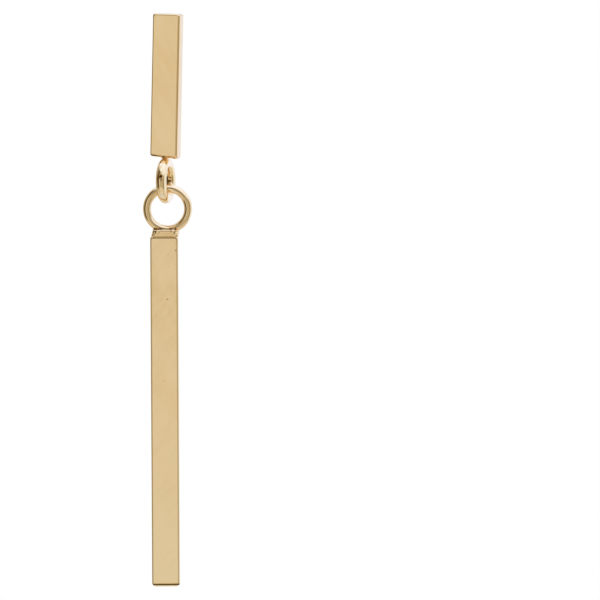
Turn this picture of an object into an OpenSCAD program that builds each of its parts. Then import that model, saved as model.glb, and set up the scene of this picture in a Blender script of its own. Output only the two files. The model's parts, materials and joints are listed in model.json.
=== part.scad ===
// Bar drop earring: a flat bar stud with a soldered loop, and a long flat bar
// whose soldered ring hangs in that loop. Millimetres, +Z up, front faces -Y.
// The origin is the root of the ear post on the stud's back face.

/* [Bars] */
// Width of both bars, across the front
bar_w = 2.0; // [1.6:0.1:3]
// Thickness of both bars, front to back
bar_t = 1.0; // [0.8:0.1:1.6]
// Length of the upper bar, the stud
stud_len = 10.2; // [8:0.1:15]
// Length of the lower bar, the drop
drop_len = 25.15; // [15:0.05:45]
// Rounding of the long edges of both bars
edge_r = 0.15; // [0.05:0.01:0.2]
// Rounding of the stud's corners, seen from the front
stud_corner_r = 0.18; // [0.1:0.01:0.4]
// Rounding of the stud's end edges, seen from the side
stud_end_r = 0.14; // [0.1:0.01:0.35]
// Slope of the stud's lower end, which is cut a little off square, in degrees
stud_foot_slope = 5; // [0:0.5:8]
// Rounding of the stud's lower end edges, seen from the side
stud_foot_r = 0.22; // [0.1:0.01:0.35]
// Rounding of the drop's corners, seen from the front
drop_corner_r = 0.32; // [0.1:0.01:0.4]
// Rounding of the drop's end edges, seen from the side
drop_end_r = 0.22; // [0.1:0.01:0.35]

/* [Rings] */
// Diameter of the loop's wire
loop_wire_d = 0.75; // [0.5:0.02:0.8]
// Diameter of the ring's wire
ring_wire_d = 0.58; // [0.5:0.02:0.8]
// Outside diameter of the loop under the stud
loop_od = 3.26; // [2.8:0.02:5]
// Outside diameter of the ring on the drop
ring_od = 3.5; // [3:0.05:5]
// Gap between the two wires where one ring hangs in the other
link_gap = 0.03; // [0.02:0.01:0.1]

/* [Solder] */
// Height of the stud's lower end above the loop
loop_seat = 0.02; // [0:0.01:0.2]
// Width of the solder under the stud
loop_solder_w = 0.46; // [0.4:0.01:0.7]
// Depth of the solder under the stud, front to back
loop_solder_depth = 0.5; // [0.4:0.01:0.8]
// Height of the solder under the stud, down to where it ends inside the wire
loop_solder_h = 0.2; // [0.1:0.01:0.3]
// Height of the drop's top end below the ring
ring_seat = 0.1; // [0.02:0.01:0.3]
// Height of the solder on top of the drop
ring_solder_h = 0.4; // [0.3:0.01:0.5]
// Reach of that solder to the left of the drop's middle, at its top
ring_solder_left = 0.87; // [0.7:0.01:1]
// Reach of that solder to the right of the drop's middle, at its top
ring_solder_right = 1.09; // [0.9:0.01:1.15]
// Rounding of that solder's top edges
ring_solder_r = 0.12; // [0.05:0.01:0.15]

/* [Ear post] */
// Diameter of the post
post_d = 0.8; // [0.7:0.05:1]
// Length of the post, from the stud's back face to its tip
post_len = 11; // [9:0.5:12]
// Distance of the post below the stud's top end
post_below_top = 3; // [2:0.1:5]

/* [Hang] */
// Turn of the stud on its post, its top to the right, in degrees
stud_lean = 1.1; // [0:0.1:5]
// Turn of the drop about the vertical, from the stud's front, in degrees
drop_twist = 17.5; // [0:0.5:30]
// Lean of the drop bar, its foot to the right, in degrees
drop_lean = 0.42; // [0:0.02:2]
// Lean of the loop away from the stud's own line, its lowest point to the right, in degrees
loop_lean = 2; // [0:0.1:5]
// Turn of the loop about the vertical, its front side to the right, in degrees
loop_turn = 2.2; // [0:0.1:5]
// Distance of the ring's centre to the right of the loop's lowest point
ring_side = 0.12; // [0:0.01:0.2]
// Distance of the drop's top end to the left of the loop's lowest point
drop_side = 0.12; // [0:0.01:0.3]

/* [Hidden] */
$fn = 48;
gold = [0.86, 0.75, 0.55];
// The solder under the stud starts this far inside the bar
bite = 0.05;
// The solder on the drop stays this far inside the bar's front and back faces
solder_inset = 0.015;
// It starts this far below the bar's end, to fill the rounded corners
solder_root = 0.3;
loop_r = (loop_od - loop_wire_d) / 2;
ring_r = (ring_od - ring_wire_d) / 2;
stud_foot = post_below_top - stud_len;
mid_y = -bar_t / 2;
// Length from the stud's lower end down to the middle of the loop's lowest wire
loop_hang = loop_seat + loop_od / 2 + loop_r;
// The loop's lowest point, where its wire runs front to back: the drop swings about it
pivot = [
    stud_foot * sin(stud_lean) - loop_hang * sin(stud_lean - loop_lean),
    mid_y,
    stud_foot * cos(stud_lean) - loop_hang * cos(stud_lean - loop_lean)
];
// Height of the pivot above the ring's centre, with the gap kept between the two wires
ring_reach = ring_r - (ring_wire_d + loop_wire_d) / 2 - link_gap;
ring_z = -sqrt(ring_reach * ring_reach - ring_side * ring_side);
drop_top_z = ring_z - ring_od / 2 - ring_seat;

// Rectangle with rounded corners, about the origin
module rounded_rectangle(w, h, r) {
    square([w - 2 * r, h], center = true);
    square([w, h - 2 * r], center = true);
    for (x = [-1, 1], y = [-1, 1])
        translate([x * (w / 2 - r), y * (h / 2 - r)])
            circle(r = r);
}

// Front outline of a bar from its top end down: the lower end slopes down to the right
module bar_outline(length, corner_r, slope) {
    reach = bar_w / 2 - corner_r;
    left_z = -length + reach * tan(slope) + corner_r / cos(slope);
    right_z = -length - reach * tan(slope) + corner_r / cos(slope);
    // From a corner's centre to the point where it meets the lower end
    down = [-corner_r * sin(slope), -corner_r * cos(slope)];
    polygon([
        [-reach, 0],
        [reach, 0],
        [bar_w / 2, -corner_r],
        [bar_w / 2, right_z],
        [reach, right_z] + down,
        [-reach, left_z] + down,
        [-bar_w / 2, left_z],
        [-bar_w / 2, -corner_r]
    ]);
    for (centre = [[-reach, -corner_r], [reach, -corner_r], [-reach, left_z], [reach, right_z]])
        translate(centre)
            circle(r = corner_r);
}

// Endless bar seen from the side, with its end at the origin and the end's edges eased
module bar_end(length, end_r) {
    rotate([90, 0, 90])
        linear_extrude(4 * bar_w, center = true)
            translate([0, -length])
                rounded_rectangle(bar_t, 2 * length, end_r);
}

// Bar of the given length that hangs down from the origin, every edge eased
module bar(length, corner_r, end_r, foot_r, slope) {
    intersection() {
        translate([0, 0, -length / 2])
            linear_extrude(length + 2 * bar_w, center = true)
                rounded_rectangle(bar_w, bar_t, edge_r);
        rotate([90, 0, 0])
            linear_extrude(bar_t, center = true)
                bar_outline(length, corner_r, slope);
        bar_end(length, end_r);
        translate([0, 0, -length])
            rotate([0, slope, 0])
                mirror([0, 0, 1])
                    bar_end(length, foot_r);
    }
}

// Round wire ring about the Z axis
module wire_ring(r, wire_d) {
    rotate_extrude()
        translate([r, 0])
            circle(d = wire_d);
}

// Neck of solder under the stud, from inside the bar down into the loop's wire
module loop_solder() {
    translate([0, 0, -loop_solder_h])
        linear_extrude(loop_solder_h + bite)
            rounded_rectangle(loop_solder_w, loop_solder_depth, 0.2);
}

// Block of solder on the drop's top end, which leans out to the ring on the right
module ring_solder() {
    foot = bar_w / 2 - 0.02;
    low = ring_solder_h - ring_solder_r;
    intersection() {
        rotate([90, 0, 0])
            linear_extrude(bar_t, center = true) {
                polygon([
                    [-foot, -solder_root],
                    [foot, -solder_root],
                    [ring_solder_right, low],
                    [ring_solder_right - ring_solder_r, ring_solder_h],
                    [ring_solder_r - ring_solder_left, ring_solder_h],
                    [-ring_solder_left, low]
                ]);
                for (x = [ring_solder_r - ring_solder_left, ring_solder_right - ring_solder_r])
                    translate([x, low])
                        circle(r = ring_solder_r);
            }
        translate([0, 0, ring_solder_h])
            rotate([90, 0, 90])
                linear_extrude(2 * bar_w, center = true)
                    translate([0, -bar_t])
                        rounded_rectangle(bar_t - 2 * solder_inset, 2 * bar_t, ring_solder_r);
    }
}

// Upper bar with the loop soldered under it
module stud_bar() {
    color(gold)
        rotate([0, stud_lean, 0])
            translate([0, mid_y, 0]) {
                translate([0, 0, post_below_top])
                    bar(stud_len, stud_corner_r, stud_end_r, stud_foot_r, stud_foot_slope);
                translate([0, 0, stud_foot])
                    rotate([0, -loop_lean, 0]) {
                        translate([0, 0, loop_r - loop_hang])
                            rotate([0, 90, loop_turn])
                                wire_ring(loop_r, loop_wire_d);
                        loop_solder();
                    }
            }
}

// Plain post with a rounded tip, standing on the stud's back face
module ear_post() {
    color(gold)
        rotate([-90, 0, 0]) {
            cylinder(d = post_d, h = post_len - post_d / 2);
            translate([0, 0, post_len - post_d / 2])
                sphere(d = post_d);
        }
}

// Lower bar with the ring soldered on top of it
module drop_bar() {
    color(gold)
        translate(pivot)
            rotate([0, 0, drop_twist]) {
                translate([ring_side, 0, ring_z])
                    rotate([90, 0, 0])
                        wire_ring(ring_r, ring_wire_d);
                translate([-drop_side, 0, drop_top_z])
                    rotate([0, -drop_lean, 0]) {
                        bar(drop_len, drop_corner_r, drop_end_r, drop_end_r, 0);
                        ring_solder();
                    }
            }
}

stud_bar();
ear_post();
drop_bar();
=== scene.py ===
import json
import math

import bmesh
import bpy
from mathutils import Matrix, Vector, noise


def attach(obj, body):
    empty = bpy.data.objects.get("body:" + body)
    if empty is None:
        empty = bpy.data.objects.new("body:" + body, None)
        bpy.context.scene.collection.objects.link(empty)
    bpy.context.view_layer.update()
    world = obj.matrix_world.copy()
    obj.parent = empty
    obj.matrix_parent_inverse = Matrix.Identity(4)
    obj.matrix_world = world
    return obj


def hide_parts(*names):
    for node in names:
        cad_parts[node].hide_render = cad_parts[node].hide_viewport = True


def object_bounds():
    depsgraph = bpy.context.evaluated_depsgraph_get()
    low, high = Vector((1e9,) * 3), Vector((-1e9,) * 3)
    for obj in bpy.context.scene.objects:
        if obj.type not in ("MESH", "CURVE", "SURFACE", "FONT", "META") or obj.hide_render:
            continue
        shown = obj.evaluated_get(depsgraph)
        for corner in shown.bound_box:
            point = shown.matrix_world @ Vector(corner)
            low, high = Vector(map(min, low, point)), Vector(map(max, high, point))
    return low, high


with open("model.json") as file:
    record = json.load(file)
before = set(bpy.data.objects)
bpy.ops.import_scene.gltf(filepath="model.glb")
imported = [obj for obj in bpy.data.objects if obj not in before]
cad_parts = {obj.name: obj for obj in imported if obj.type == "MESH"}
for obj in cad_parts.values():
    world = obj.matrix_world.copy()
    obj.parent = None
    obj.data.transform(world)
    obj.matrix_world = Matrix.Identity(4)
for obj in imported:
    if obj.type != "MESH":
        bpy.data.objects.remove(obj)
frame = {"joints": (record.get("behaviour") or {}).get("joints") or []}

bl_info = {
    "name": "Bar drop earring",
    "version": (1, 0, 0),
    "blender": (4, 5, 0),
    "location": "View3D > Sidebar > Earring",
    "description": "Bars, soldered rings and post of a polished gold bar drop earring, with its studio",
    "category": "Object",
}

CAD_BOX = [list(corner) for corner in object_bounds()]
PIVOT = Vector(frame["joints"][0]["pos_m"])
MM = 0.001
RIGHT = Vector((1, 0, 0))
BACK = Vector((0, 1, 0))
UP = Vector((0, 0, 1))


class EarringBars(bpy.types.PropertyGroup):
    """Sizes of the two flat bars"""

    width: bpy.props.FloatProperty(
        name="Width",
        description="Width of both bars, across the front",
        default=2.0 * MM,
        unit="LENGTH",
    )
    thickness: bpy.props.FloatProperty(
        name="Thickness",
        description="Thickness of both bars, front to back",
        default=1.0 * MM,
        unit="LENGTH",
    )
    stud_length: bpy.props.FloatProperty(
        name="Stud length",
        description="Length of the upper bar",
        default=10.2 * MM,
        unit="LENGTH",
    )
    drop_length: bpy.props.FloatProperty(
        name="Drop length",
        description="Length of the lower bar",
        default=25.15 * MM,
        unit="LENGTH",
    )
    edge_round: bpy.props.FloatProperty(
        name="Edge rounding",
        description="Rounding of the long edges",
        default=0.15 * MM,
        unit="LENGTH",
    )
    edge_left: bpy.props.FloatProperty(
        name="Left edge rounding",
        description="Rounding of the long edges on the left, which are crisper",
        default=0.10 * MM,
        unit="LENGTH",
    )
    stud_corner: bpy.props.FloatProperty(
        name="Stud corners",
        description="Rounding of the upper bar's corners, seen from the front",
        default=0.18 * MM,
        unit="LENGTH",
    )
    stud_end: bpy.props.FloatProperty(
        name="Stud top",
        description="Rounding of the upper bar's top end, seen from the side",
        default=0.14 * MM,
        unit="LENGTH",
    )
    stud_foot_left: bpy.props.FloatProperty(
        name="Stud foot, left",
        description="Rounding of the upper bar's lower end at the left, seen from the side",
        default=0.15 * MM,
        unit="LENGTH",
    )
    stud_foot_right: bpy.props.FloatProperty(
        name="Stud foot, right",
        description="Rounding of the upper bar's lower end at the right, seen from the side",
        default=0.32 * MM,
        unit="LENGTH",
    )
    stud_slope: bpy.props.FloatProperty(
        name="Stud foot slope",
        description="Slope of the upper bar's lower end, its right side lower",
        default=math.radians(5),
        subtype="ANGLE",
    )
    drop_corner: bpy.props.FloatProperty(
        name="Drop corners",
        description="Rounding of the lower bar's corners, seen from the front",
        default=0.32 * MM,
        unit="LENGTH",
    )
    drop_end: bpy.props.FloatProperty(
        name="Drop ends",
        description="Rounding of the lower bar's end edges, seen from the side",
        default=0.22 * MM,
        unit="LENGTH",
    )


class EarringRings(bpy.types.PropertyGroup):
    """Sizes of the loop under the stud and the ring on the drop"""

    loop_wire: bpy.props.FloatProperty(
        name="Loop wire",
        description="Diameter of the loop's wire",
        default=0.75 * MM,
        unit="LENGTH",
    )
    loop: bpy.props.FloatProperty(
        name="Loop",
        description="Outside diameter of the loop under the stud",
        default=3.26 * MM,
        unit="LENGTH",
    )
    ring_wire: bpy.props.FloatProperty(
        name="Ring wire",
        description="Diameter of the ring's wire",
        default=0.58 * MM,
        unit="LENGTH",
    )
    ring: bpy.props.FloatProperty(
        name="Ring",
        description="Outside diameter of the ring on the drop",
        default=3.5 * MM,
        unit="LENGTH",
    )
    gap: bpy.props.FloatProperty(
        name="Link gap",
        description="Gap between the two wires where the ring hangs in the loop",
        default=0.03 * MM,
        unit="LENGTH",
    )


class EarringSolder(bpy.types.PropertyGroup):
    """Sizes of the two solder seams"""

    loop_seat: bpy.props.FloatProperty(
        name="Loop seat",
        description="Height of the stud's lower end above the loop",
        default=0.02 * MM,
        unit="LENGTH",
    )
    loop_width: bpy.props.FloatProperty(
        name="Loop seam width",
        description="Width of the solder under the stud",
        default=0.46 * MM,
        unit="LENGTH",
    )
    loop_depth: bpy.props.FloatProperty(
        name="Loop seam depth",
        description="Depth of the solder under the stud, front to back",
        default=0.5 * MM,
        unit="LENGTH",
    )
    loop_height: bpy.props.FloatProperty(
        name="Loop seam height",
        description="Height of the solder under the stud, down to where it ends inside the wire",
        default=0.2 * MM,
        unit="LENGTH",
    )
    ring_seat: bpy.props.FloatProperty(
        name="Ring seat",
        description="Height of the drop's top end below the ring",
        default=0.1 * MM,
        unit="LENGTH",
    )
    ring_height: bpy.props.FloatProperty(
        name="Ring seam height",
        description="Height of the solder on top of the drop",
        default=0.4 * MM,
        unit="LENGTH",
    )
    ring_root: bpy.props.FloatProperty(
        name="Ring seam root",
        description="Depth of that solder below the bar's end, where it fills the rounded corners",
        default=0.3 * MM,
        unit="LENGTH",
    )
    ring_left: bpy.props.FloatProperty(
        name="Ring seam left",
        description="Reach of that solder to the left of the drop's middle, at its top",
        default=0.82 * MM,
        unit="LENGTH",
    )
    ring_right: bpy.props.FloatProperty(
        name="Ring seam right",
        description="Reach of that solder to the right of the drop's middle, at its top",
        default=1.09 * MM,
        unit="LENGTH",
    )
    ring_round: bpy.props.FloatProperty(
        name="Ring seam rounding",
        description="Rounding of that solder's top edges",
        default=0.12 * MM,
        unit="LENGTH",
    )
    ring_side_round: bpy.props.FloatProperty(
        name="Ring seam side rounding",
        description="Rounding of that solder's upright edges",
        default=0.22 * MM,
        unit="LENGTH",
    )
    inset: bpy.props.FloatProperty(
        name="Ring seam inset",
        description="Distance of that solder behind the bar's front face",
        default=0.015 * MM,
        unit="LENGTH",
    )


class EarringPost(bpy.types.PropertyGroup):
    """Sizes of the ear post"""

    diameter: bpy.props.FloatProperty(
        name="Diameter",
        description="Diameter of the post",
        default=0.8 * MM,
        unit="LENGTH",
    )
    length: bpy.props.FloatProperty(
        name="Length",
        description="Length of the post, from the stud's back face to its tip",
        default=11.0 * MM,
        unit="LENGTH",
    )
    below_top: bpy.props.FloatProperty(
        name="Below top",
        description="Distance of the post below the stud's top end",
        default=3.0 * MM,
        unit="LENGTH",
    )


class EarringHang(bpy.types.PropertyGroup):
    """How the earring hangs"""

    stud_lean: bpy.props.FloatProperty(
        name="Stud lean",
        description="Turn of the stud on its post, its top to the right",
        default=math.radians(1.1),
        subtype="ANGLE",
    )
    drop_twist: bpy.props.FloatProperty(
        name="Drop twist",
        description="Turn of the drop about the vertical, from the stud's front",
        default=math.radians(17.5),
        subtype="ANGLE",
    )
    drop_lean: bpy.props.FloatProperty(
        name="Drop lean",
        description="Lean of the drop bar, its foot to the right",
        default=math.radians(0.42),
        subtype="ANGLE",
    )
    loop_lean: bpy.props.FloatProperty(
        name="Loop lean",
        description="Lean of the loop away from the stud's own line, its lowest point to the right",
        default=math.radians(2.0),
        subtype="ANGLE",
    )
    loop_turn: bpy.props.FloatProperty(
        name="Loop turn",
        description="Turn of the loop about the vertical, its front side to the right",
        default=math.radians(2.2),
        subtype="ANGLE",
    )
    ring_side: bpy.props.FloatProperty(
        name="Ring offset",
        description="Distance of the ring's centre to the right of the loop's lowest point",
        default=0.12 * MM,
        unit="LENGTH",
    )
    drop_side: bpy.props.FloatProperty(
        name="Drop offset",
        description="Distance of the drop's top end to the left of the loop's lowest point",
        default=0.12 * MM,
        unit="LENGTH",
    )


class EarringFinish(bpy.types.PropertyGroup):
    """Colours of the metal"""

    gold: bpy.props.FloatVectorProperty(
        name="Gold",
        description="Colour of the polished plating",
        default=(0.942, 0.690, 0.378),
        size=3,
        subtype="COLOR",
    )
    gold_shade: bpy.props.FloatVectorProperty(
        name="Gold, deeper",
        description="Colour of the plating where it is a little thicker",
        default=(0.912, 0.655, 0.325),
        size=3,
        subtype="COLOR",
    )
    gold_pale: bpy.props.FloatVectorProperty(
        name="Gold, paler",
        description="Colour of the plating towards the foot of the drop",
        default=(0.950, 0.742, 0.430),
        size=3,
        subtype="COLOR",
    )
    solder: bpy.props.FloatVectorProperty(
        name="Solder",
        description="Colour of the solder under the stud, which is paler",
        default=(0.985, 0.86, 0.64),
        size=3,
        subtype="COLOR",
    )
    # Dark colour of the painted shade and painted dark reflections in seams, creases and along edges,
    # and of the dark spots
    painted_shade_and_spots: bpy.props.FloatVectorProperty(
        name="Seams",
        description="Colour of the painted shade in the seams",
        default=(0.045, 0.022, 0.010),
        size=3,
        subtype="COLOR",
    )


class EarringStudio(bpy.types.PropertyGroup):
    """Camera, backdrop and floor"""

    azimuth: bpy.props.FloatProperty(
        name="Azimuth",
        description="Direction of the camera, to the right of the stud's front",
        default=math.radians(16.2),
        subtype="ANGLE",
    )
    elevation: bpy.props.FloatProperty(
        name="Elevation",
        description="Height of the camera above the horizontal",
        default=math.radians(5.0),
        subtype="ANGLE",
    )
    roll: bpy.props.FloatProperty(
        name="Roll",
        description="Turn of the camera that leans the picture to the right",
        default=math.radians(0.22),
        subtype="ANGLE",
    )
    distance: bpy.props.FloatProperty(
        name="Distance",
        description="Distance of the camera from the earring",
        default=0.4,
        unit="LENGTH",
    )
    frame_width: bpy.props.FloatProperty(
        name="Frame width",
        description="Width of the view at the earring",
        default=42.6 * MM,
        unit="LENGTH",
    )
    to_right: bpy.props.FloatProperty(
        name="Aim right",
        description="Distance of the view's centre to the right of the link between the rings",
        default=9.515 * MM,
        unit="LENGTH",
    )
    below: bpy.props.FloatProperty(
        name="Aim below",
        description="Distance of the view's centre below the link between the rings",
        default=7.225 * MM,
        unit="LENGTH",
    )
    floor_drop: bpy.props.FloatProperty(
        name="Floor",
        description="Distance of the floor below the foot of the drop",
        default=0.3,
        unit="LENGTH",
    )
    backdrop: bpy.props.FloatProperty(
        name="Backdrop",
        description="Distance of the white backdrop behind the stud's back face",
        default=1.2 * MM,
        unit="LENGTH",
    )


class EarringSettings(bpy.types.PropertyGroup):
    """All settings of the earring and its studio"""

    bars: bpy.props.PointerProperty(type=EarringBars)
    rings: bpy.props.PointerProperty(type=EarringRings)
    solder: bpy.props.PointerProperty(type=EarringSolder)
    post: bpy.props.PointerProperty(type=EarringPost)
    hang: bpy.props.PointerProperty(type=EarringHang)
    finish: bpy.props.PointerProperty(type=EarringFinish)
    studio: bpy.props.PointerProperty(type=EarringStudio)


# In every function, s is the scene's EarringSettings.

# Small sums

def clamp(value):
    """The value, kept between 0 and 1."""
    return min(1.0, max(0.0, value))


def between(left, right, share):
    """Value at a share of the way from left to right."""
    return left + (right - left) * share


def smooth(value, low, high):
    """Smooth step from 0 at low to 1 at high."""
    share = clamp((value - low) / (high - low))
    return share * share * (3 - 2 * share)


def fade(distance, reach):
    """1 at no distance, 0 from the given reach on."""
    return max(0.0, 1 - abs(distance) / reach) ** 2


# Places of the pieces

def lean_place(s):
    """Matrix of the stud's frame: it leans about the post, with Z along the upper bar."""
    middle = Matrix.Translation((0, -s.bars.thickness / 2, 0))
    return Matrix.Rotation(s.hang.stud_lean, 4, "Y") @ middle


def stud_place(s):
    """Matrix of the upper bar, at the middle of its top end."""
    return lean_place(s) @ Matrix.Translation((0, 0, s.post.below_top))


def neck_place(s):
    """Matrix of the solder under the stud, at the bar's lower end and leaning with the loop."""
    foot = Matrix.Translation((0, 0, s.post.below_top - s.bars.stud_length))
    return lean_place(s) @ foot @ Matrix.Rotation(-s.hang.loop_lean, 4, "Y")


def loop_place(s):
    """Matrix of the loop, at its centre and about its own axis."""
    centre = Matrix.Translation((0, 0, -s.solder.loop_seat - s.rings.loop / 2))
    upright = Matrix.Rotation(s.hang.loop_turn, 4, "Z") @ Matrix.Rotation(math.pi / 2, 4, "Y")
    return neck_place(s) @ centre @ upright


def hang_place(s):
    """Matrix of the drop's frame, at the link and turned with the drop."""
    return Matrix.Translation(PIVOT) @ Matrix.Rotation(s.hang.drop_twist, 4, "Z")


def ring_centre_z(s):
    """Height of the ring's centre above the link, with the gap kept between the two wires."""
    reach = (s.rings.ring - s.rings.loop_wire) / 2 - s.rings.ring_wire - s.rings.gap
    return -math.sqrt(reach ** 2 - s.hang.ring_side ** 2)


def ring_place(s):
    """Matrix of the ring, at its centre and about its own axis."""
    centre = Matrix.Translation((s.hang.ring_side, 0, ring_centre_z(s)))
    return hang_place(s) @ centre @ Matrix.Rotation(math.pi / 2, 4, "X")


def drop_place(s):
    """Matrix of the lower bar, at the middle of its top end."""
    top_z = ring_centre_z(s) - s.rings.ring / 2 - s.solder.ring_seat
    top = Matrix.Translation((-s.hang.drop_side, 0, top_z))
    return hang_place(s) @ top @ Matrix.Rotation(-s.hang.drop_lean, 4, "Y")


# Steps that the shapes share

def round_off(bm, geom, radius, segments, affect="EDGES"):
    """Rounds edges or, on a flat outline, corners."""
    bmesh.ops.bevel(
        bm,
        geom=geom,
        offset=radius,
        offset_type="OFFSET",
        segments=segments,
        profile=0.5,
        affect=affect,
        material=-1,
    )


def slice_evenly(bm, axis, start, size, parts):
    """Cuts the shape into even parts across an axis, from start on over the given size."""
    for i in range(1, parts):
        bmesh.ops.bisect_plane(
            bm,
            geom=bm.verts[:] + bm.edges[:] + bm.faces[:],
            plane_co=axis * (start + size * i / parts),
            plane_no=axis,
        )


def spin_round(bm, steps):
    """Spins the profile once about the Z axis into a closed shape."""
    bmesh.ops.spin(
        bm,
        geom=bm.verts[:] + bm.edges[:],
        cent=(0, 0, 0),
        axis=(0, 0, 1),
        angle=2 * math.pi,
        steps=steps,
        use_merge=True,
        use_duplicate=False,
    )


def block(width, depth, tall, top, rounding):
    """Block about the Z axis, its top at the given height and its upright edges rounded."""
    bm = bmesh.new()
    bmesh.ops.create_cube(bm, size=1.0)
    bmesh.ops.scale(bm, vec=(width, depth, tall), verts=bm.verts)
    bmesh.ops.translate(bm, vec=(0, 0, top - tall / 2), verts=bm.verts)
    upright = [e for e in bm.edges if abs(e.verts[0].co.z - e.verts[1].co.z) > tall / 2]
    round_off(bm, upright, rounding, 8)
    return bm


def rounding_inset(radius, depth):
    """How far a rounded edge stands back at a depth below the end face."""
    if depth >= radius:
        return 0.0
    return radius - math.sqrt(radius ** 2 - (radius - depth) ** 2)


# The bars

# Parts that a bar's outline is cut into, at each rounded long edge, in front and behind, and at the
# sides; degrees at which its rounded ends are cut; and about how long the parts between them are
EDGE_PARTS = 10
FRONT_PARTS = 20
SIDE_PARTS = 8
END_DEGREES = range(0, 91, 6)
SPAN = 0.4 * MM

# Painted shade and painted dark reflections on the bars: height of the dark line above the lower end,
# then its strength at the left and at the right, where a negative one ends it on the way, at the top
# end and along the right folds
STUD_PAINTED_SHADE = (0.08 * MM, 1.6, -0.6, 0.25, 0.35)
DROP_PAINTED_SHADE = (0.17 * MM, 1.4, 1.4, 0.0, 0.0)

# Dark spot at the stud's top left corner: place right of and below the corner, reach, strength
CORNER_DARK_SPOT = (0.06 * MM, 0.10 * MM, 0.24 * MM, 0.9)

# Line where the drop's solder ends on the bar's front: its height from the bar's end, how far it drops
# at both ends, from where and over what width it does so on the left and on the right, and the
# strength and reach of the painted shade in that crease
ARCH_HEIGHT = -0.11 * MM
ARCH_DROP = 0.26 * MM
ARCH_LEFT = (0.62 * MM, 0.34 * MM)
ARCH_RIGHT = (0.48 * MM, 0.42 * MM)
ARCH_STRENGTH = 0.75
ARCH_REACH = 0.075 * MM


def flat_bar(s, length, corner, end, feet, slope):
    """Bar that hangs down from the origin: a rounded outline extruded down, then eased at both ends.

    The rounding of its lower end, seen from the side, goes from the first of the feet at the left
    to the second at the right.
    """
    width, thickness = s.bars.width, s.bars.thickness
    bm = bmesh.new()
    bmesh.ops.create_grid(bm, x_segments=1, y_segments=1, size=0.5)
    bmesh.ops.scale(bm, vec=(width, thickness, 1), verts=bm.verts)
    right = [v for v in bm.verts if v.co.x > 0]
    left = [v for v in bm.verts if v.co.x < 0]
    round_off(bm, right, s.bars.edge_round, EDGE_PARTS, "VERTICES")
    round_off(bm, left, s.bars.edge_left, EDGE_PARTS, "VERTICES")
    bmesh.ops.delete(bm, geom=bm.faces[:], context="FACES_ONLY")
    straight = 3 * s.bars.edge_round
    for least, most, parts in ((width / 2, width, FRONT_PARTS), (straight, width / 2, SIDE_PARTS)):
        edges = [e for e in bm.edges if least < e.calc_length() <= most]
        bmesh.ops.subdivide_edges(bm, edges=edges, cuts=parts - 1)

    rounded = max(corner, end, *feet)
    ends = [rounded * (1 - math.cos(math.radians(degrees))) for degrees in END_DEGREES]
    spans = round((length - 2 * rounded) / SPAN)
    span = (length - 2 * rounded) / spans
    middle = [rounded + span * i for i in range(1, spans)]
    depths = ends + middle + [length - depth for depth in reversed(ends)]
    edges = bm.edges[:]
    for before, depth in zip(depths, depths[1:]):
        made = bmesh.ops.extrude_edge_only(bm, edges=edges)["geom"]
        edges = [g for g in made if isinstance(g, bmesh.types.BMEdge)]
        verts = [g for g in made if isinstance(g, bmesh.types.BMVert)]
        bmesh.ops.translate(bm, vec=(0, 0, before - depth), verts=verts)
    bmesh.ops.holes_fill(bm, edges=[e for e in bm.edges if e.is_boundary], sides=0)

    for v in bm.verts:
        depth = -v.co.z
        if depth < length / 2:
            near, ease = depth, end
        else:
            near, ease = length - depth, between(*feet, v.co.x / width + 0.5)
        v.co.x *= 1 - 2 * rounding_inset(corner, near) / width
        v.co.y *= 1 - 2 * rounding_inset(ease, near) / thickness
        low = clamp((depth - length / 2) / (length / 2 - rounded))
        v.co.z -= v.co.x * math.tan(slope) * low
    return bm


def paint_bar_shade(bm, s, length, slope, tarnish):
    """Paints shade and dark reflections by the bar's top end, on a line above its lower end and along
    its right folds.
    """
    line, left, right, top, fold = tarnish
    top_z, top_reach = -0.04 * MM, 0.11 * MM
    fold_x = s.bars.width / 2 - 0.03 * MM
    reach = 0.14 * MM
    painted_shade_and_spots = bm.verts.layers.float.new("painted_shade_and_spots")
    for v in bm.verts:
        low = v.co.z + length + v.co.x * math.tan(slope)
        foot = between(left, right, v.co.x / s.bars.width + 0.5)
        v[painted_shade_and_spots] = max(
            top * fade(v.co.z - top_z, top_reach),
            foot * fade(low - line, reach),
            fold * fade(v.co.x - fold_x, reach),
        )
    return painted_shade_and_spots


def stud_shape(s):
    """Upper bar with its painted shade, painted dark reflections and a dark corner spot, hanging down
    from the origin.
    """
    bars = s.bars
    feet = (bars.stud_foot_left, bars.stud_foot_right)
    bm = flat_bar(s, bars.stud_length, bars.stud_corner, bars.stud_end, feet, bars.stud_slope)
    painted_shade_and_spots = paint_bar_shade(bm, s, bars.stud_length, bars.stud_slope, STUD_PAINTED_SHADE)
    across, below, reach, strength = CORNER_DARK_SPOT
    for v in bm.verts:
        away = math.hypot(v.co.x + bars.width / 2 - across, v.co.z + below)
        v[painted_shade_and_spots] = max(v[painted_shade_and_spots], strength * fade(away, reach))
    return bm


def drop_shape(s):
    """Lower bar with its painted shade and painted dark reflections, hanging down from the origin."""
    bars = s.bars
    feet = (bars.drop_end, bars.drop_end)
    bm = flat_bar(s, bars.drop_length, bars.drop_corner, bars.drop_end, feet, 0.0)
    painted_shade_and_spots = paint_bar_shade(bm, s, bars.drop_length, 0.0, DROP_PAINTED_SHADE)
    for v in bm.verts:
        # Painted shade in the crease under the solder
        v[painted_shade_and_spots] = max(v[painted_shade_and_spots], arch_painted_shade(v.co))
    return bm


def arch_painted_shade(place):
    """Painted shade in the crease where the solder ends on the drop bar's front, in the bar's frame."""
    begin, width = ARCH_RIGHT if place.x > 0 else ARCH_LEFT
    bend = clamp((abs(place.x) - begin) / width)
    line = ARCH_HEIGHT - ARCH_DROP * (1 - math.sqrt(1 - bend * bend))
    return ARCH_STRENGTH * fade(place.z - line, ARCH_REACH)


# The loop and the ring

# Parts that a ring is cut into: around its wire and along it
WIRE_PARTS = 48
RING_PARTS = 320

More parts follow.
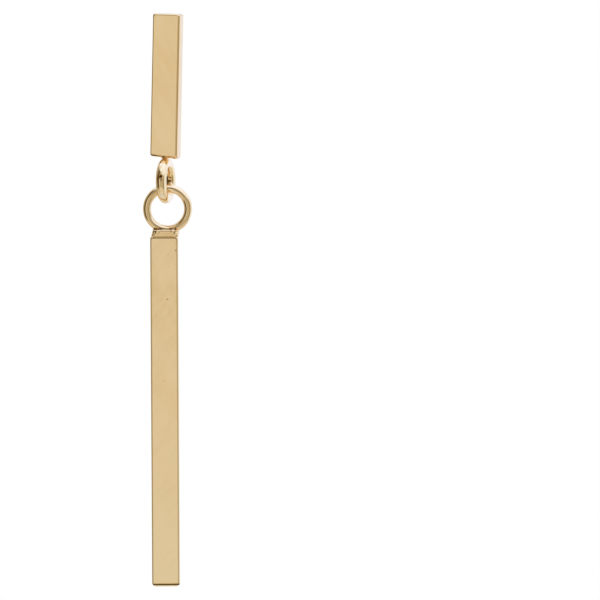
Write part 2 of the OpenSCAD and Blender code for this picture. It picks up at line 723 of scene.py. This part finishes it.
# Small dents in the loop, darkened with painted shade, the one without depth only a painted shaded
# streak: angle from its lowest point, towards the back, in degrees;
# place across the wire, in wire radii; reach along and across, and depth, in mm; strength of the
# painted shade
LOOP_DENTS = (
    (-104, 0.16, 0.12, 0.17, 0.03, 2.0),
    (-99, -0.42, 0.22, 0.04, 0.01, 2.0),
    (-131, 0.05, 0.26, 0.06, 0.0, 0.35),
    (85, 0.05, 0.12, 0.18, 0.03, 2.0),
    (101, 0.25, 0.08, 0.09, 0.02, 2.0),
)

# How much further than its reach a dent fades out
DENT_FADE = 1.6

# Painted shade in the crevice where the ring meets the solder: place along the bar's width and half
# width, in mm; strength
SEAM_PAINTED_SHADE = (
    (-0.66, 0.26, 3.24),
    (-0.30, 0.32, 1.62),
    (0.46, 0.2, 2.34),
    (0.8, 0.14, 1.44),
)


def wire_ring(outside, wire_width):
    """Round wire ring about the Z axis."""
    wire = wire_width / 2
    upright = Matrix.Rotation(math.pi / 2, 3, "X")
    bm = bmesh.new()
    bmesh.ops.create_circle(bm, cap_ends=False, segments=WIRE_PARTS, radius=wire)
    bmesh.ops.rotate(bm, cent=(0, 0, 0), matrix=upright, verts=bm.verts)
    bmesh.ops.translate(bm, vec=(outside / 2 - wire, 0, 0), verts=bm.verts)
    spin_round(bm, RING_PARTS)
    return bm


def loop_shape(s):
    """Loop about the Z axis, with small dents pressed into it and darkened with painted shade."""
    wire = s.rings.loop_wire / 2
    middle = s.rings.loop / 2 - wire
    bm = wire_ring(s.rings.loop, s.rings.loop_wire)
    painted_shade_and_spots = bm.verts.layers.float.new("painted_shade_and_spots")
    for v in bm.verts:
        core = Vector((v.co.x, v.co.y, 0)).normalized() * middle
        around = math.atan2(v.co.y, v.co.x)
        for degrees, side, along, across, depth, strength in LOOP_DENTS:
            turned = around - math.radians(degrees)
            away = math.atan2(math.sin(turned), math.cos(turned)) * middle
            off = math.hypot(away / along, (v.co.z - side * wire) / across)
            cut = fade(off, DENT_FADE * MM)
            # Painted shade in and around the dent
            v[painted_shade_and_spots] = min(1.0, max(v[painted_shade_and_spots], strength * cut))
            v.co = core + (v.co - core) * (1 - depth * MM * cut / wire)
    return bm


def ring_shape(s):
    """Ring about the Z axis, with painted shade on its front just above the solder."""
    to_bar = drop_place(s).inverted() @ ring_place(s)
    line, reach = s.solder.ring_height + 0.01 * MM, 0.18 * MM
    strength = 1.8
    bm = wire_ring(s.rings.ring, s.rings.ring_wire)
    painted_shade_and_spots = bm.verts.layers.float.new("painted_shade_and_spots")
    for v in bm.verts:
        place = to_bar @ v.co
        v[painted_shade_and_spots] = min(1.0, strength * fade(place.z - line, reach) * seam_painted_shade(place.x))
    return bm


def seam_painted_shade(x):
    """Strength of the painted shade at a place along the drop bar's width."""
    spots = [strength * fade(x - at * MM, reach * MM) for at, reach, strength in SEAM_PAINTED_SHADE]
    return min(1.0, max(spots))


def outside_ring(s, place):
    """How far a point in the drop bar's frame lies outside the ring's wire."""
    ring, wire = s.rings.ring, s.rings.ring_wire
    across = place.x - s.hang.ring_side - s.hang.drop_side
    up = place.z - s.solder.ring_seat - ring / 2
    from_circle = math.hypot(across, up) - (ring - wire) / 2
    return math.hypot(from_circle, place.y) - wire / 2


# The solder

# Parts that the neck under the stud is cut into, from top to bottom, and the parts that the block on
# the drop is cut into, in its height, width and depth
NECK_PARTS = 16
TALL_PARTS = 28
WIDTH_PARTS = 64
DEPTH_PARTS = 20

# Beads on the front of the drop's solder: place across and above the bar's end, radius, height, in mm
SOLDER_BEADS = (
    (-0.50, 0.29, 0.20, 0.09),
    (-0.58, 0.10, 0.14, 0.06),
    (-0.80, 0.05, 0.13, 0.05),
    (0.58, 0.30, 0.15, 0.08),
    (0.84, 0.12, 0.20, 0.09),
)

# Size and height of the lumps of that solder, all over and at its sides
LUMPS = (0.30 * MM, 0.004 * MM)
SIDE_LUMPS = (0.16 * MM, 0.03 * MM)
# How far from the middle the lumps at its sides begin and are full
SIDE_BEGINS = (0.5 * MM, 0.85 * MM)
# Height above the bar's end over which lumps and beads rise
LUMPS_RISE = 0.15 * MM
# Seed of the lumps, which keeps them the same in every run
LUMPS_SEED = 1

# Darkening of that solder: the least there is, an even slight deepening all over, and the reach of the
# painted shade around the ring
SOLDER_EVEN_DARKENING = 0.07
RING_PAINTED_SHADE_REACH = 0.09 * MM


def neck_shape(s):
    """Neck of solder between the stud and the loop, with a fillet at the stud."""
    bite = 0.05 * MM
    rounding = 0.2 * MM
    flare, flare_reach = 0.35, 0.14 * MM
    tall = s.solder.loop_height + bite
    bm = block(s.solder.loop_width, s.solder.loop_depth, tall, bite, rounding)
    slice_evenly(bm, UP, bite, -tall, NECK_PARTS)
    for v in bm.verts:
        wider = 1 + flare * fade(min(0.0, v.co.z), flare_reach)
        v.co.x *= wider
        v.co.y *= wider
    return bm


def solder_block(s):
    """Solder on the drop's top end: a block with beads that leans out to the ring on the right."""
    solder = s.solder
    width, thickness = s.bars.width, s.bars.thickness
    tall = solder.ring_height + solder.ring_root
    depth = thickness - 2 * solder.inset
    bm = block(width, depth, tall, solder.ring_height, solder.ring_side_round)
    top = [e for e in bm.edges if all(v.co.z > solder.ring_height - 0.01 * MM for v in e.verts)]
    round_off(bm, top, solder.ring_round, 6)
    slice_evenly(bm, UP, -solder.ring_root, tall, TALL_PARTS)
    slice_evenly(bm, RIGHT, -width / 2, width, WIDTH_PARTS)
    slice_evenly(bm, BACK, -thickness / 2, thickness, DEPTH_PARTS)
    noise.seed_set(LUMPS_SEED)
    painted_shade_and_spots = bm.verts.layers.float.new("painted_shade_and_spots")
    for v in bm.verts:
        v.co.x *= solder_lean(s, v.co)
        v.co += solder_lumps(v.co)
        # Painted shade where the solder meets the ring and in the crease at the bar's front
        at_ring = fade(outside_ring(s, v.co), RING_PAINTED_SHADE_REACH) * seam_painted_shade(v.co.x)
        v[painted_shade_and_spots] = max(SOLDER_EVEN_DARKENING, arch_painted_shade(v.co), at_ring)
    return bm


def solder_lean(s, place):
    """How much wider than the plain block the drop's solder is at a place, as it leans to the ring."""
    solder = s.solder
    half = s.bars.width / 2
    foot = half - 0.02 * MM
    low = solder.ring_height - solder.ring_round
    share = min(1.0, (place.z + solder.ring_root) / (low + solder.ring_root))
    reach = solder.ring_left if place.x < 0 else solder.ring_right
    return between(foot, reach, share) / half


def solder_lumps(place):
    """Lumps of the drop's solder at a place, most of all at its sides, and the beads in front."""
    size, height = LUMPS
    lumps = noise.noise_vector(place / size) * height
    size, height = SIDE_LUMPS
    lumps += noise.noise_vector(place / size) * height * smooth(abs(place.x), *SIDE_BEGINS)
    if place.y < 0:
        for x, z, radius, bulge in SOLDER_BEADS:
            away = math.hypot(place.x - x * MM, place.z - z * MM) / (radius * MM)
            lumps.y -= bulge * MM * smooth(1 - away, 0, 1)
    return lumps * clamp(place.z / LUMPS_RISE)


# The post

# Parts that the post is cut into: its fillet and its tip, its length, and around
QUARTER_PARTS = 8
LENGTH_PARTS = 12
AROUND_PARTS = 64


def post_shape(s):
    """Post along Z from its root on the stud's back to its rounded tip, with a thin solder fillet."""
    radius = s.post.diameter / 2
    body = s.post.length - radius
    fillet = 0.12 * MM
    quarter = [math.pi / 2 * i / QUARTER_PARTS for i in range(QUARTER_PARTS + 1)]
    profile = [(0, 0)]
    profile += [(radius + fillet * (1 - math.sin(a)), fillet * (1 - math.cos(a))) for a in quarter]
    span = (body - fillet) / LENGTH_PARTS
    profile += [(radius, fillet + span * (i + 1)) for i in range(LENGTH_PARTS)]
    profile += [(radius * math.cos(a), body + radius * math.sin(a)) for a in quarter[1:]]
    bm = bmesh.new()
    line = [bm.verts.new((out, 0, along)) for out, along in profile]
    for pair in zip(line, line[1:]):
        bm.edges.new(pair)
    spin_round(bm, AROUND_PARTS)
    return bm


# Objects

def make_object(name, bm, material):
    """Writes the shape to a mesh object in the scene, with its material."""
    mesh = bpy.data.meshes.new(name)
    bm.to_mesh(mesh)
    bm.free()
    mesh.materials.append(material)
    made = bpy.data.objects.new(name, mesh)
    bpy.context.scene.collection.objects.link(made)
    return made


def finish_piece(name, bm, place, body, node, material):
    """Makes the shape a smooth piece in its place, riding on its body in place of its CAD node."""
    bmesh.ops.remove_doubles(bm, verts=bm.verts, dist=1e-8)
    bmesh.ops.transform(bm, matrix=place, verts=bm.verts)
    bmesh.ops.recalc_face_normals(bm, faces=bm.faces)
    for face in bm.faces:
        face.smooth = True
    piece = make_object(name, bm, material)
    flat_first = piece.modifiers.new("Flat faces first", "WEIGHTED_NORMAL")
    flat_first.weight = 100
    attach(piece, body)
    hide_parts(node)


# Node helpers

def feed(tree, socket, value):
    """Links an input from a socket, or sets it to a plain value."""
    if isinstance(value, bpy.types.NodeSocket):
        tree.links.new(value, socket)
    else:
        socket.default_value = value


def calculated(tree, operation, *values, kind="ShaderNodeMath"):
    """Adds a math node with the given inputs and gives its output."""
    node = tree.nodes.new(kind)
    node.operation = operation
    for socket, value in zip(node.inputs, values):
        feed(tree, socket, value)
    return next(socket for socket in node.outputs if socket.enabled)


def smooth_share(tree, value, low, high):
    """Adds a smooth step from 0 at low to 1 at high."""
    step = tree.nodes.new("ShaderNodeMapRange")
    step.interpolation_type = "SMOOTHSTEP"
    step.inputs["From Min"].default_value = low
    step.inputs["From Max"].default_value = high
    tree.links.new(value, step.inputs["Value"])
    return step.outputs["Result"]


def mixed_colour(tree, factor, first, second):
    """Adds a colour mix; first and second are sockets or colours."""
    mix = tree.nodes.new("ShaderNodeMix")
    mix.data_type = "RGBA"
    tree.links.new(factor, mix.inputs["Factor"])
    # The colour sockets share their names with other sockets, so they go by number
    feed(tree, mix.inputs[6], first)
    feed(tree, mix.inputs[7], second)
    return mix.outputs[2]


def mixed_shader(tree, factor, first, second):
    """Adds a mix of two shaders."""
    mix = tree.nodes.new("ShaderNodeMixShader")
    for socket, source in zip(mix.inputs, (factor, first, second)):
        tree.links.new(source, socket)
    return mix.outputs["Shader"]


def empty_tree(owner):
    """Node tree of a material or world, with no node left in it."""
    owner.use_nodes = True
    owner.node_tree.nodes.clear()
    return owner.node_tree


# Materials

# Noise in the plating: scale, detail, stretch and lean about the Y axis in degrees
CLOUDS = (500, 3, (1, 1, 0.35), 0)
STREAKS = (2600, 2, (1, 1, 0.06), 38)
BRUSH = (1300, 3, (1, 1, 0.2), -28)

# Share of the paler gold in the brush marks
BRUSH_PALE = 0.5
# Heights between which the colour turns paler, towards the foot of the drop
PALE_FOOT = (-0.018, -0.040)
# Roughness of the plating between the streaks and in them, and what full painted shade adds
ROUGHNESS = (0.04, 0.11)
SHADE_ROUGHNESS = 0.35
# Painted shade deepens the gold by a gamma that rises with its strength, and covers it by a power of
# that
SHADE_GAMMA = 1.5
SHADE_COVER = 1.6
# Relief of the streaks and pits: share of the streaks in it, strength and height of the bump
STREAK_RELIEF = 0.25
BUMP_STRENGTH = 0.03
BUMP_HEIGHT = 0.02 * MM

# Small pits in the drop's front: place across and below the bar's top end, radius, in mm; strength
DROP_PITS = (
    (0.20, 4.56, 0.11, 0.45),
    (0.79, 1.07, 0.11, 0.45),
    (-0.09, 10.37, 0.10, 0.15),
    (0.28, 1.35, 0.09, 0.13),
    (0.28, 2.20, 0.09, 0.13),
    (-0.28, 4.60, 0.09, 0.10),
)
PIT_COLOUR = (0.2, 0.12, 0.05, 1)
# Share of a pit's radius within which it is as deep and dark as it gets
PIT_FLOOR = 0.3


def noise_share(tree, place, scale, detail, stretch, lean):
    """Adds noise from 0 to 1 on coordinates that are leaned about Y and stretched."""
    fit = tree.nodes.new("ShaderNodeMapping")
    fit.vector_type = "TEXTURE"
    fit.inputs["Rotation"].default_value = (0, math.radians(lean), 0)
    fit.inputs["Scale"].default_value = [1 / factor for factor in stretch]
    tree.links.new(place, fit.inputs["Vector"])
    cloud = tree.nodes.new("ShaderNodeTexNoise")
    cloud.inputs["Scale"].default_value = scale
    cloud.inputs["Detail"].default_value = detail
    tree.links.new(fit.outputs["Vector"], cloud.inputs["Vector"])
    return smooth_share(tree, cloud.outputs["Fac"], 0.3, 0.7)


def gold_material(name, s, tones, pits=(), dull=0.0):
    """Plating in object coordinates: clouds of tone, brush marks, polishing streaks, pits, and painted
    shade and dark reflections.

    A pit is its centre, radius and strength, and dull is what is added to the roughness.
    """
    material = bpy.data.materials.new(name)
    material.use_nodes = True
    tree = material.node_tree
    nodes, links = tree.nodes, tree.links
    shader = nodes["Principled BSDF"]
    shader.inputs["Metallic"].default_value = 1.0
    place = nodes.new("ShaderNodeTexCoord").outputs["Object"]
    pale = (*s.finish.gold_pale, 1)

    clouds = noise_share(tree, place, *CLOUDS)
    colour = mixed_colour(tree, clouds, (*tones[0], 1), (*tones[1], 1))
    brush = noise_share(tree, place, *BRUSH)
    colour = mixed_colour(tree, calculated(tree, "MULTIPLY", brush, BRUSH_PALE), colour, pale)
    split = nodes.new("ShaderNodeSeparateXYZ")
    links.new(place, split.inputs["Vector"])
    foot = smooth_share(tree, split.outputs["Z"], *PALE_FOOT)
    colour = mixed_colour(tree, foot, colour, pale)

    streaks = noise_share(tree, place, *STREAKS)
    shine = nodes.new("ShaderNodeMapRange")
    shine.inputs["To Min"].default_value = ROUGHNESS[0] + dull
    shine.inputs["To Max"].default_value = ROUGHNESS[1] + dull
    links.new(streaks, shine.inputs["Value"])
    relief = calculated(tree, "MULTIPLY", streaks, STREAK_RELIEF)
    for centre, radius, strength in pits:
        away = calculated(tree, "DISTANCE", place, tuple(centre), kind="ShaderNodeVectorMath")
        inside = smooth_share(tree, away, radius, PIT_FLOOR * radius)
        pit = calculated(tree, "MULTIPLY", inside, strength)
        colour = mixed_colour(tree, pit, colour, PIT_COLOUR)
        relief = calculated(tree, "SUBTRACT", relief, pit)

    # Thin painted shade only deepens the gold, thick painted shade covers it with its dark colour
    seams = nodes.new("ShaderNodeAttribute")
    seams.attribute_name = "painted_shade_and_spots"
    painted_shade_and_spots = seams.outputs["Fac"]
    deepen = nodes.new("ShaderNodeGamma")
    links.new(colour, deepen.inputs["Color"])
    links.new(calculated(tree, "MULTIPLY_ADD", painted_shade_and_spots, SHADE_GAMMA, 1.0), deepen.inputs["Gamma"])
    cover = calculated(tree, "POWER", painted_shade_and_spots, SHADE_COVER)
    colour = mixed_colour(tree, cover, deepen.outputs["Color"], (*s.finish.painted_shade_and_spots, 1))
    rough = calculated(tree, "MULTIPLY_ADD", painted_shade_and_spots, SHADE_ROUGHNESS, shine.outputs["Result"])

    bump = nodes.new("ShaderNodeBump")
    bump.inputs["Strength"].default_value = BUMP_STRENGTH
    bump.inputs["Distance"].default_value = BUMP_HEIGHT
    links.new(relief, bump.inputs["Height"])
    links.new(bump.outputs["Normal"], shader.inputs["Normal"])
    links.new(colour, shader.inputs["Base Color"])
    links.new(rough, shader.inputs["Roughness"])
    return material


def polished_gold(s):
    """The plating of every piece but the drop bar and the solder under the stud, made once."""
    name = "polished gold"
    tones = (s.finish.gold, s.finish.gold_shade)
    return bpy.data.materials.get(name) or gold_material(name, s, tones)


def pitted_gold(s):
    """The plating with the small pits in the drop's front."""
    place = drop_place(s)
    front = -s.bars.thickness / 2
    pits = [
        (place @ Vector((across * MM, front, -below * MM)), radius * MM, strength)
        for across, below, radius, strength in DROP_PITS
    ]
    return gold_material("polished gold with pits", s, (s.finish.gold, s.finish.gold_shade), pits)


def pale_solder(s):
    """The pale and duller solder under the stud."""
    return gold_material("pale solder", s, (s.finish.solder, s.finish.solder), dull=0.4)


# Studio

# Brightness of the studio around the earring, by degrees to the right of the camera: at the
# camera's height, above it, high up, below it and far down
LEVEL = (
    (-180, 0.85), (-150, 0.70), (-128, 0.48), (-105, 0.46), (-86, 0.28), (-74, 0.09),
    (-52, 0.08), (-45, 0.38), (-40, 0.77), (-28, 0.77), (-22, 0.62), (-15, 0.60),
    (-11, 0.24), (-6, 0.24), (-3, 0.765), (5, 0.765), (9, 0.42), (15, 0.46),
    (26, 0.62), (36, 0.56), (45, 0.26), (55, 0.24), (66, 0.62), (78, 0.95),
    (92, 1.05), (120, 1.10), (146, 1.20), (180, 0.88),
)
ABOVE = (
    (-180, 0.90), (-140, 0.80), (-115, 0.50), (-92, 0.34), (-76, 0.14), (-48, 0.10),
    (-38, 0.34), (-30, 0.42), (-10, 0.55), (8, 0.85), (25, 1.05), (60, 1.20),
    (120, 1.20), (180, 0.90),
)
HIGH = (
    (-180, 1.55), (-120, 1.45), (-70, 1.05), (-25, 1.25), (0, 1.30), (45, 1.25),
    (110, 1.45), (180, 1.55),
)
BELOW = (
    (-180, 0.80), (-90, 0.74), (-60, 0.60), (-30, 0.78), (0, 0.84), (20, 0.78),
    (60, 0.66), (90, 0.76), (180, 0.80),
)
FAR_DOWN = ((-180, 0.85),)

# Degrees up between which the studio changes from what is at the camera's height to each of these
BANDS = (
    (12, 26, ABOVE),
    (44, 56, HIGH),
    (-24, -36, BELOW),
    (-62, -78, FAR_DOWN),
)

# The camera itself, as the metal shows it: degrees right and up, inner and outer radius, brightness
CAMERA_SPOT = (5, 13, 7, 18, 0.12)

# Brightness below which the studio is warm and above which it is a little cool
NEUTRAL = 0.78

FLOOR_COLOUR = (0.90, 0.84, 0.70, 1)
FLOOR_ROUGHNESS = 0.9
# Half the width of the floor and the backdrop
STAGE_REACH = 0.2


def direction(around, up):
    """Direction at an angle to the right of the stud's front and an angle up."""
    return Vector((math.sin(around) * math.cos(up), -math.cos(around) * math.cos(up), math.sin(up)))


def tone(brightness):
    """Colour of a part of the studio: the darker ones are warm, the brightest a little cool."""
    shade = max(0.0, 1 - brightness / NEUTRAL)
    glare = max(0.0, brightness - NEUTRAL)
    return (
        brightness - 0.45 * glare,
        brightness * (1 - 0.2 * shade),
        brightness * (1 - 0.6 * shade + 1.1 * glare),
        1.0,
    )


def tone_ramp(tree, share, stops):
    """Adds a colour ramp around the camera's direction, with its stops in degrees."""
    ramp = tree.nodes.new("ShaderNodeValToRGB")
    tree.links.new(share, ramp.inputs["Fac"])
    elements = ramp.color_ramp.elements
    elements.remove(elements[1])
    elements[0].position = 0
    elements[0].color = tone(stops[0][1])
    for degrees, brightness in stops[1:]:
        elements.new((degrees + 180) / 360).color = tone(brightness)
    return ramp.outputs["Color"]


def studio_light(tree, s):
    """Adds the colour of the studio in every direction."""
    place = tree.nodes.new("ShaderNodeTexCoord").outputs["Generated"]
    turn = tree.nodes.new("ShaderNodeVectorRotate")
    turn.rotation_type = "Z_AXIS"
    turn.inputs["Angle"].default_value = -s.studio.azimuth
    tree.links.new(place, turn.inputs["Vector"])
    split = tree.nodes.new("ShaderNodeSeparateXYZ")
    tree.links.new(turn.outputs["Vector"], split.inputs["Vector"])
    x, y, z = split.outputs
    around = calculated(tree, "ARCTAN2", x, calculated(tree, "MULTIPLY", y, -1.0))
    upwards = calculated(tree, "ARCSINE", z)
    turned = tree.nodes.new("ShaderNodeMapRange")
    turned.inputs["From Min"].default_value = -math.pi
    turned.inputs["From Max"].default_value = math.pi
    tree.links.new(around, turned.inputs["Value"])
    light = tone_ramp(tree, turned.outputs["Result"], LEVEL)
    for low, high, stops in BANDS:
        share = smooth_share(tree, upwards, math.radians(low), math.radians(high))
        light = mixed_colour(tree, share, light, tone_ramp(tree, turned.outputs["Result"], stops))

    right, up, inner, outer, brightness = CAMERA_SPOT
    axis = direction(s.studio.azimuth + math.radians(right), math.radians(up))
    near = calculated(tree, "DOT_PRODUCT", place, tuple(axis), kind="ShaderNodeVectorMath")
    spot = smooth_share(tree, near, math.cos(math.radians(outer)), math.cos(math.radians(inner)))
    return mixed_colour(tree, spot, light, tone(brightness))


def set_surroundings(s):
    """Soft studio that the metal shows, with its darker places; the camera itself sees plain white."""
    scene = bpy.context.scene
    scene.view_settings.view_transform = "Standard"
    scene.world = bpy.data.worlds.new("studio")
    tree = empty_tree(scene.world)
    studio = tree.nodes.new("ShaderNodeBackground")
    tree.links.new(studio_light(tree, s), studio.inputs["Color"])
    white = tree.nodes.new("ShaderNodeBackground")
    white.inputs["Color"].default_value = (1, 1, 1, 1)
    ray = tree.nodes.new("ShaderNodeLightPath").outputs["Is Camera Ray"]
    out = tree.nodes.new("ShaderNodeOutputWorld")
    seen = mixed_shader(tree, ray, studio.outputs["Background"], white.outputs["Background"])
    tree.links.new(seen, out.inputs["Surface"])


def set_camera(s):
    """Camera at the picture's angle, aimed beside the earring as the picture frames it."""
    studio = s.studio
    back = direction(studio.azimuth, studio.elevation)
    level = Vector((math.cos(studio.azimuth), math.sin(studio.azimuth), 0))
    roll = Matrix.Rotation(studio.roll, 3, back)
    right, up = roll @ level, roll @ back.cross(level)
    aim = PIVOT + right * studio.to_right - up * studio.below
    lens = bpy.data.cameras.new("camera")
    lens.sensor_width = 36
    lens.lens = lens.sensor_width * studio.distance / studio.frame_width
    lens.clip_start = 0.01
    camera = bpy.data.objects.new("camera", lens)
    turn = Matrix((right, up, back)).transposed().to_4x4()
    camera.matrix_world = Matrix.Translation(aim + back * studio.distance) @ turn
    bpy.context.scene.collection.objects.link(camera)
    bpy.context.scene.camera = camera


def stage_sheet(name, turn, place, material):
    """Makes a flat square stage piece, turned about the X axis and moved to its place."""
    bm = bmesh.new()
    bmesh.ops.create_grid(bm, x_segments=1, y_segments=1, size=STAGE_REACH)
    bmesh.ops.rotate(bm, cent=(0, 0, 0), matrix=Matrix.Rotation(turn, 3, "X"), verts=bm.verts)
    bmesh.ops.translate(bm, vec=place, verts=bm.verts)
    piece = make_object(name, bm, material)


def set_backdrop(s):
    """White backdrop close behind the stud, which the post goes into: it shows from the front only."""
    material = bpy.data.materials.new("white backdrop")
    tree = empty_tree(material)
    glow = tree.nodes.new("ShaderNodeEmission").outputs["Emission"]
    clear = tree.nodes.new("ShaderNodeBsdfTransparent").outputs["BSDF"]
    side = tree.nodes.new("ShaderNodeNewGeometry")
    ray = tree.nodes.new("ShaderNodeLightPath")
    facing = calculated(tree, "SUBTRACT", 1.0, side.outputs["Backfacing"])
    seen = calculated(tree, "MULTIPLY", facing, ray.outputs["Is Camera Ray"])
    out = tree.nodes.new("ShaderNodeOutputMaterial")
    tree.links.new(mixed_shader(tree, seen, clear, glow), out.inputs["Surface"])
    stage_sheet("backdrop", math.pi / 2, (0, s.studio.backdrop, 0), material)


def set_floor(s):
    """Plain pale floor under the hanging earring."""
    material = bpy.data.materials.new("pale floor")
    material.use_nodes = True
    shader = material.node_tree.nodes["Principled BSDF"]
    shader.inputs["Base Color"].default_value = FLOOR_COLOUR
    shader.inputs["Roughness"].default_value = FLOOR_ROUGHNESS
    stage_sheet("floor", 0.0, (0, 0, CAD_BOX[0][2] - s.studio.floor_drop), material)


# Operators

class EARRING_OT_stud_bar(bpy.types.Operator):
    """Upper bar with the loop soldered under it"""

    bl_idname = "earring.stud_bar"
    bl_label = "Stud bar and loop"

    def execute(self, context):
        s = context.scene.earring
        gold = polished_gold(s)
        finish_piece("stud_plate", stud_shape(s), stud_place(s), "stud", "stud_bar", gold)
        finish_piece("stud_loop", loop_shape(s), loop_place(s), "stud", "stud_bar", gold)
        finish_piece("stud_solder", neck_shape(s), neck_place(s), "stud", "stud_bar", pale_solder(s))
        return {"FINISHED"}


class EARRING_OT_ear_post(bpy.types.Operator):
    """Post on the stud's back"""

    bl_idname = "earring.ear_post"
    bl_label = "Ear post"

    def execute(self, context):
        s = context.scene.earring
        backwards = Matrix.Rotation(-math.pi / 2, 4, "X")
        finish_piece("ear_post_metal", post_shape(s), backwards, "stud", "ear_post", polished_gold(s))
        return {"FINISHED"}


class EARRING_OT_drop_bar(bpy.types.Operator):
    """Lower bar with the ring soldered on top of it"""

    bl_idname = "earring.drop_bar"
    bl_label = "Drop bar and ring"

    def execute(self, context):
        s = context.scene.earring
        gold = polished_gold(s)
        finish_piece("drop_plate", drop_shape(s), drop_place(s), "drop", "drop_bar", pitted_gold(s))
        finish_piece("drop_ring", ring_shape(s), ring_place(s), "drop", "drop_bar", gold)
        finish_piece("drop_solder", solder_block(s), drop_place(s), "drop", "drop_bar", gold)
        return {"FINISHED"}


class EARRING_OT_studio(bpy.types.Operator):
    """Camera, surroundings, backdrop and floor"""

    bl_idname = "earring.studio"
    bl_label = "Studio"

    def execute(self, context):
        s = context.scene.earring
        set_camera(s)
        set_surroundings(s)
        set_backdrop(s)
        set_floor(s)
        return {"FINISHED"}


class EARRING_PT_panel(bpy.types.Panel):
    """Lists the settings and the steps that build the earring"""

    bl_label = "Bar drop earring"
    bl_idname = "EARRING_PT_panel"
    bl_space_type = "VIEW_3D"
    bl_region_type = "UI"
    bl_category = "Earring"

    def draw(self, context):
        s = context.scene.earring
        for group in (s.bars, s.rings, s.solder, s.post, s.hang, s.finish, s.studio):
            box = self.layout.box()
            for key in group.bl_rna.properties.keys():
                if key not in ("rna_type", "name"):
                    box.prop(group, key)
        for operator in OPERATORS:
            self.layout.operator(operator.bl_idname)


OPERATORS = (
    EARRING_OT_stud_bar,
    EARRING_OT_ear_post,
    EARRING_OT_drop_bar,
    EARRING_OT_studio,
)
CLASSES = (
    EarringBars,
    EarringRings,
    EarringSolder,
    EarringPost,
    EarringHang,
    EarringFinish,
    EarringStudio,
    EarringSettings,
    *OPERATORS,
    EARRING_PT_panel,
)


def register():
    """Registers the classes and hangs the settings on the scene."""
    for cls in CLASSES:
        bpy.utils.register_class(cls)
    bpy.types.Scene.earring = bpy.props.PointerProperty(type=EarringSettings)


def unregister():
    """Takes the settings and the classes away again."""
    del bpy.types.Scene.earring
    for cls in reversed(CLASSES):
        bpy.utils.unregister_class(cls)


def main():
    """Builds the earring and its studio."""
    register()
    bpy.ops.earring.stud_bar()
    bpy.ops.earring.ear_post()
    bpy.ops.earring.drop_bar()
    bpy.ops.earring.studio()


if __name__ == "__main__":
    main()
